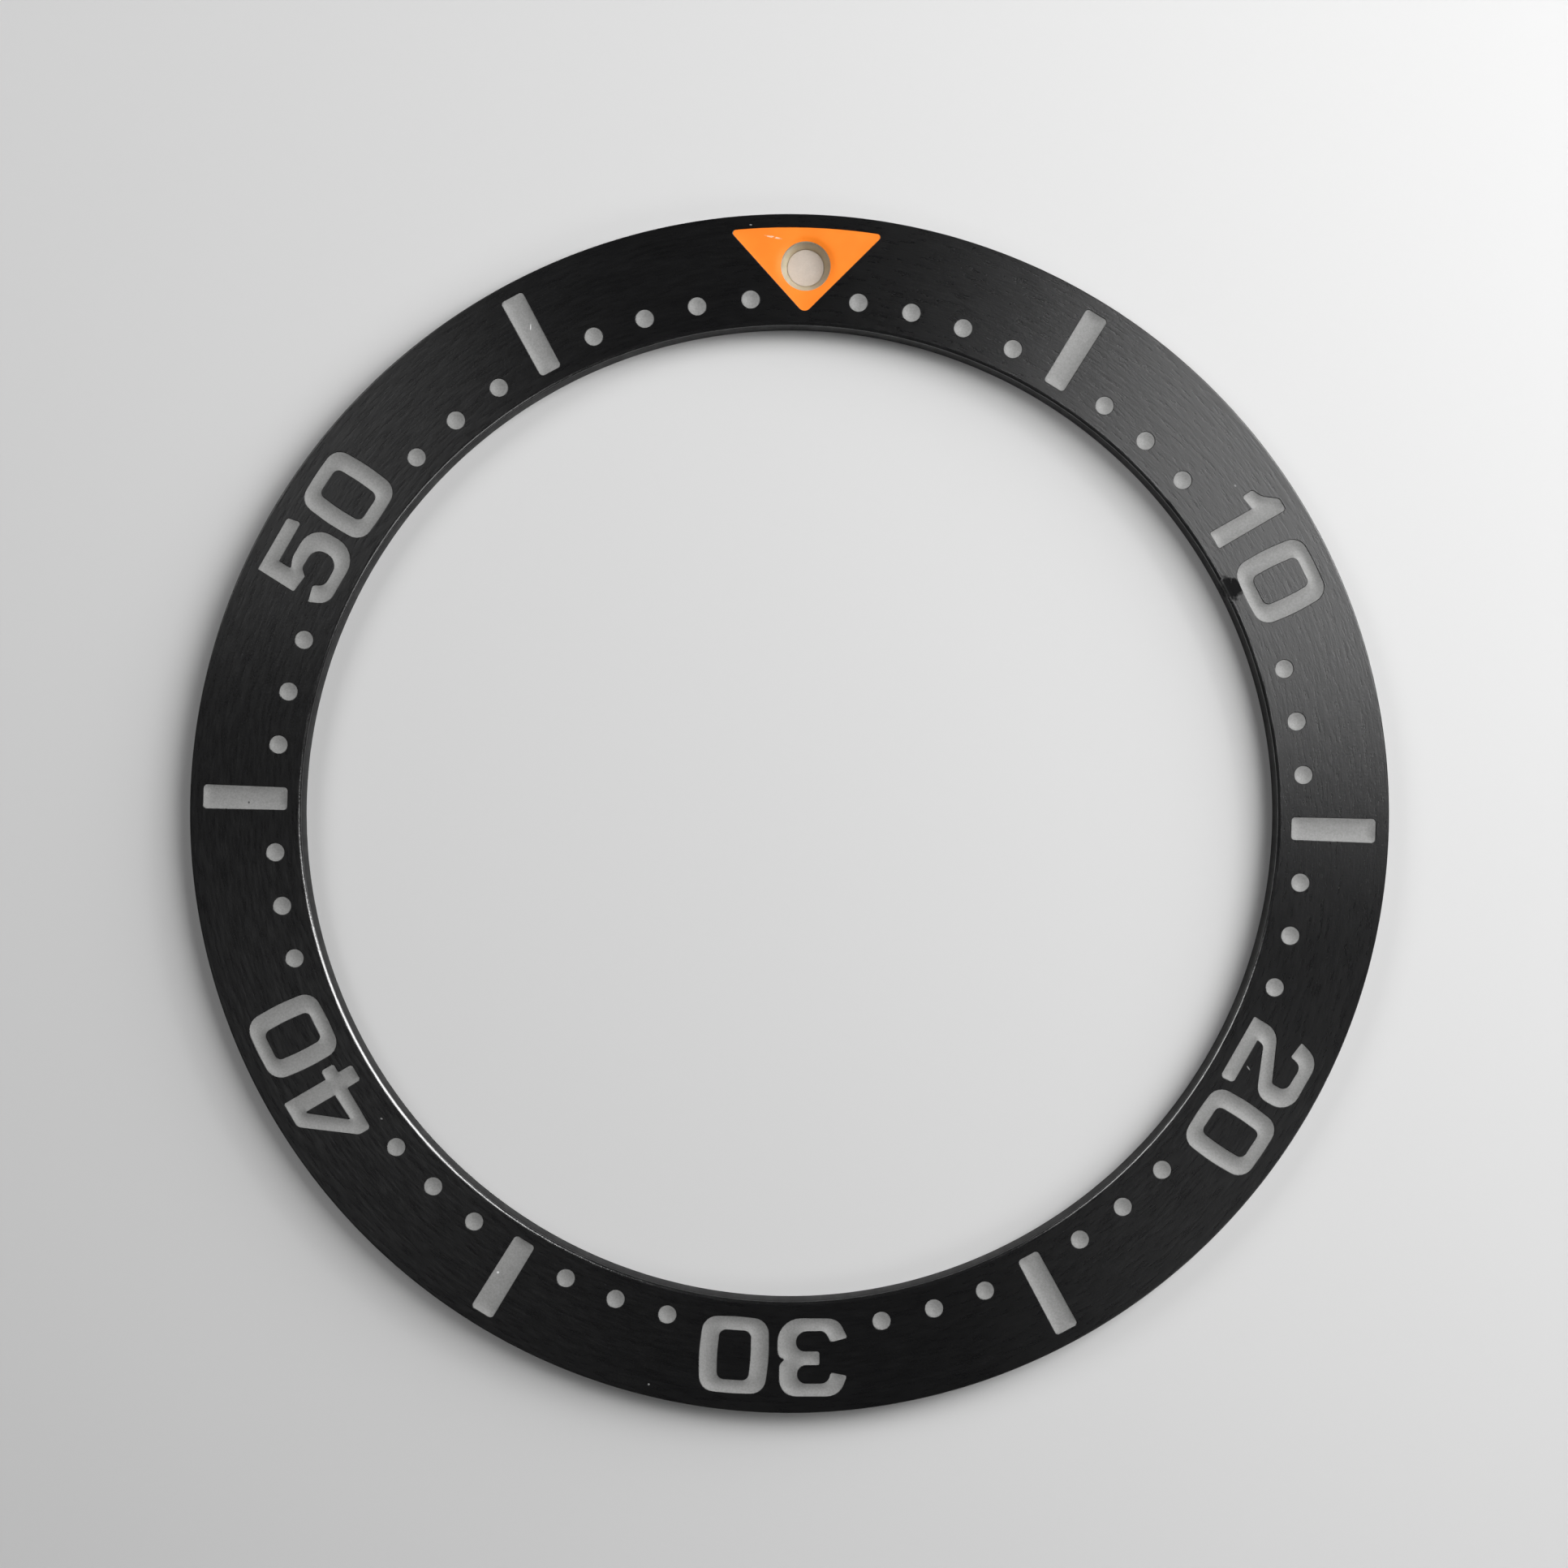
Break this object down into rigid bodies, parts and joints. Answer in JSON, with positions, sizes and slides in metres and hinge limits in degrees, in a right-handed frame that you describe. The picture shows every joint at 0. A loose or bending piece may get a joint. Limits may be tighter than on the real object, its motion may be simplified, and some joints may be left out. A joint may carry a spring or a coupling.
{
  "type": "dive watch bezel insert",
  "caption": "Flat black ring insert for a diver's watch bezel, with sunk silver minute marks, an orange zero triangle and a luminous pip.",
  "frame": {"origin": "centre of the back face, on the ring's axis", "axes": "+Z along the ring's axis, out of the front face that carries the marks; +Y towards the zero triangle; +X towards the 15-minute bar"},
  "size_m": [0.038, 0.038, 0.001],
  "materials": {
    "black_anodised": "black anodised aluminium, satin, with fine brushing that runs round the ring",
    "silver_paint": "silver-grey enamel paint, satin, lying dished in shallow pockets",
    "orange_paint": "orange enamel paint, satin",
    "pip_resin": "greenish-beige resin, slightly translucent, semi-gloss",
    "lume": "cream luminous compound, matte, fine grained"
  },
  "bodies": {
    "root": {"insert_ring": "black_anodised", "minute_dot_01": "silver_paint", "minute_dot_02": "silver_paint", "minute_dot_03": "silver_paint", "minute_dot_04": "silver_paint", "minute_dot_06": "silver_paint", "minute_dot_07": "silver_paint", "minute_dot_08": "silver_paint", "minute_dot_12": "silver_paint", "minute_dot_13": "silver_paint", "minute_dot_14": "silver_paint", "minute_dot_16": "silver_paint", "minute_dot_17": "silver_paint", "minute_dot_18": "silver_paint", "minute_dot_22": "silver_paint", "minute_dot_23": "silver_paint", "minute_dot_24": "silver_paint", "minute_dot_26": "silver_paint", "minute_dot_27": "silver_paint", "minute_dot_28": "silver_paint", "minute_dot_32": "silver_paint", "minute_dot_33": "silver_paint", "minute_dot_34": "silver_paint", "minute_dot_36": "silver_paint", "minute_dot_37": "silver_paint", "minute_dot_38": "silver_paint", "minute_dot_42": "silver_paint", "minute_dot_43": "silver_paint", "minute_dot_44": "silver_paint", "minute_dot_46": "silver_paint", "minute_dot_47": "silver_paint", "minute_dot_48": "silver_paint", "minute_dot_52": "silver_paint", "minute_dot_53": "silver_paint", "minute_dot_54": "silver_paint", "minute_dot_56": "silver_paint", "minute_dot_57": "silver_paint", "minute_dot_58": "silver_paint", "minute_dot_59": "silver_paint", "minute_bar_05": "silver_paint", "minute_bar_15": "silver_paint", "minute_bar_25": "silver_paint", "minute_bar_35": "silver_paint", "minute_bar_45": "silver_paint", "minute_bar_55": "silver_paint", "numeral_10": "silver_paint", "numeral_20": "silver_paint", "numeral_30": "silver_paint", "numeral_40": "silver_paint", "numeral_50": "silver_paint", "zero_triangle": "orange_paint", "pip_cup": "pip_resin", "pip_lume": "lume"}
  },
  "joints": []
}
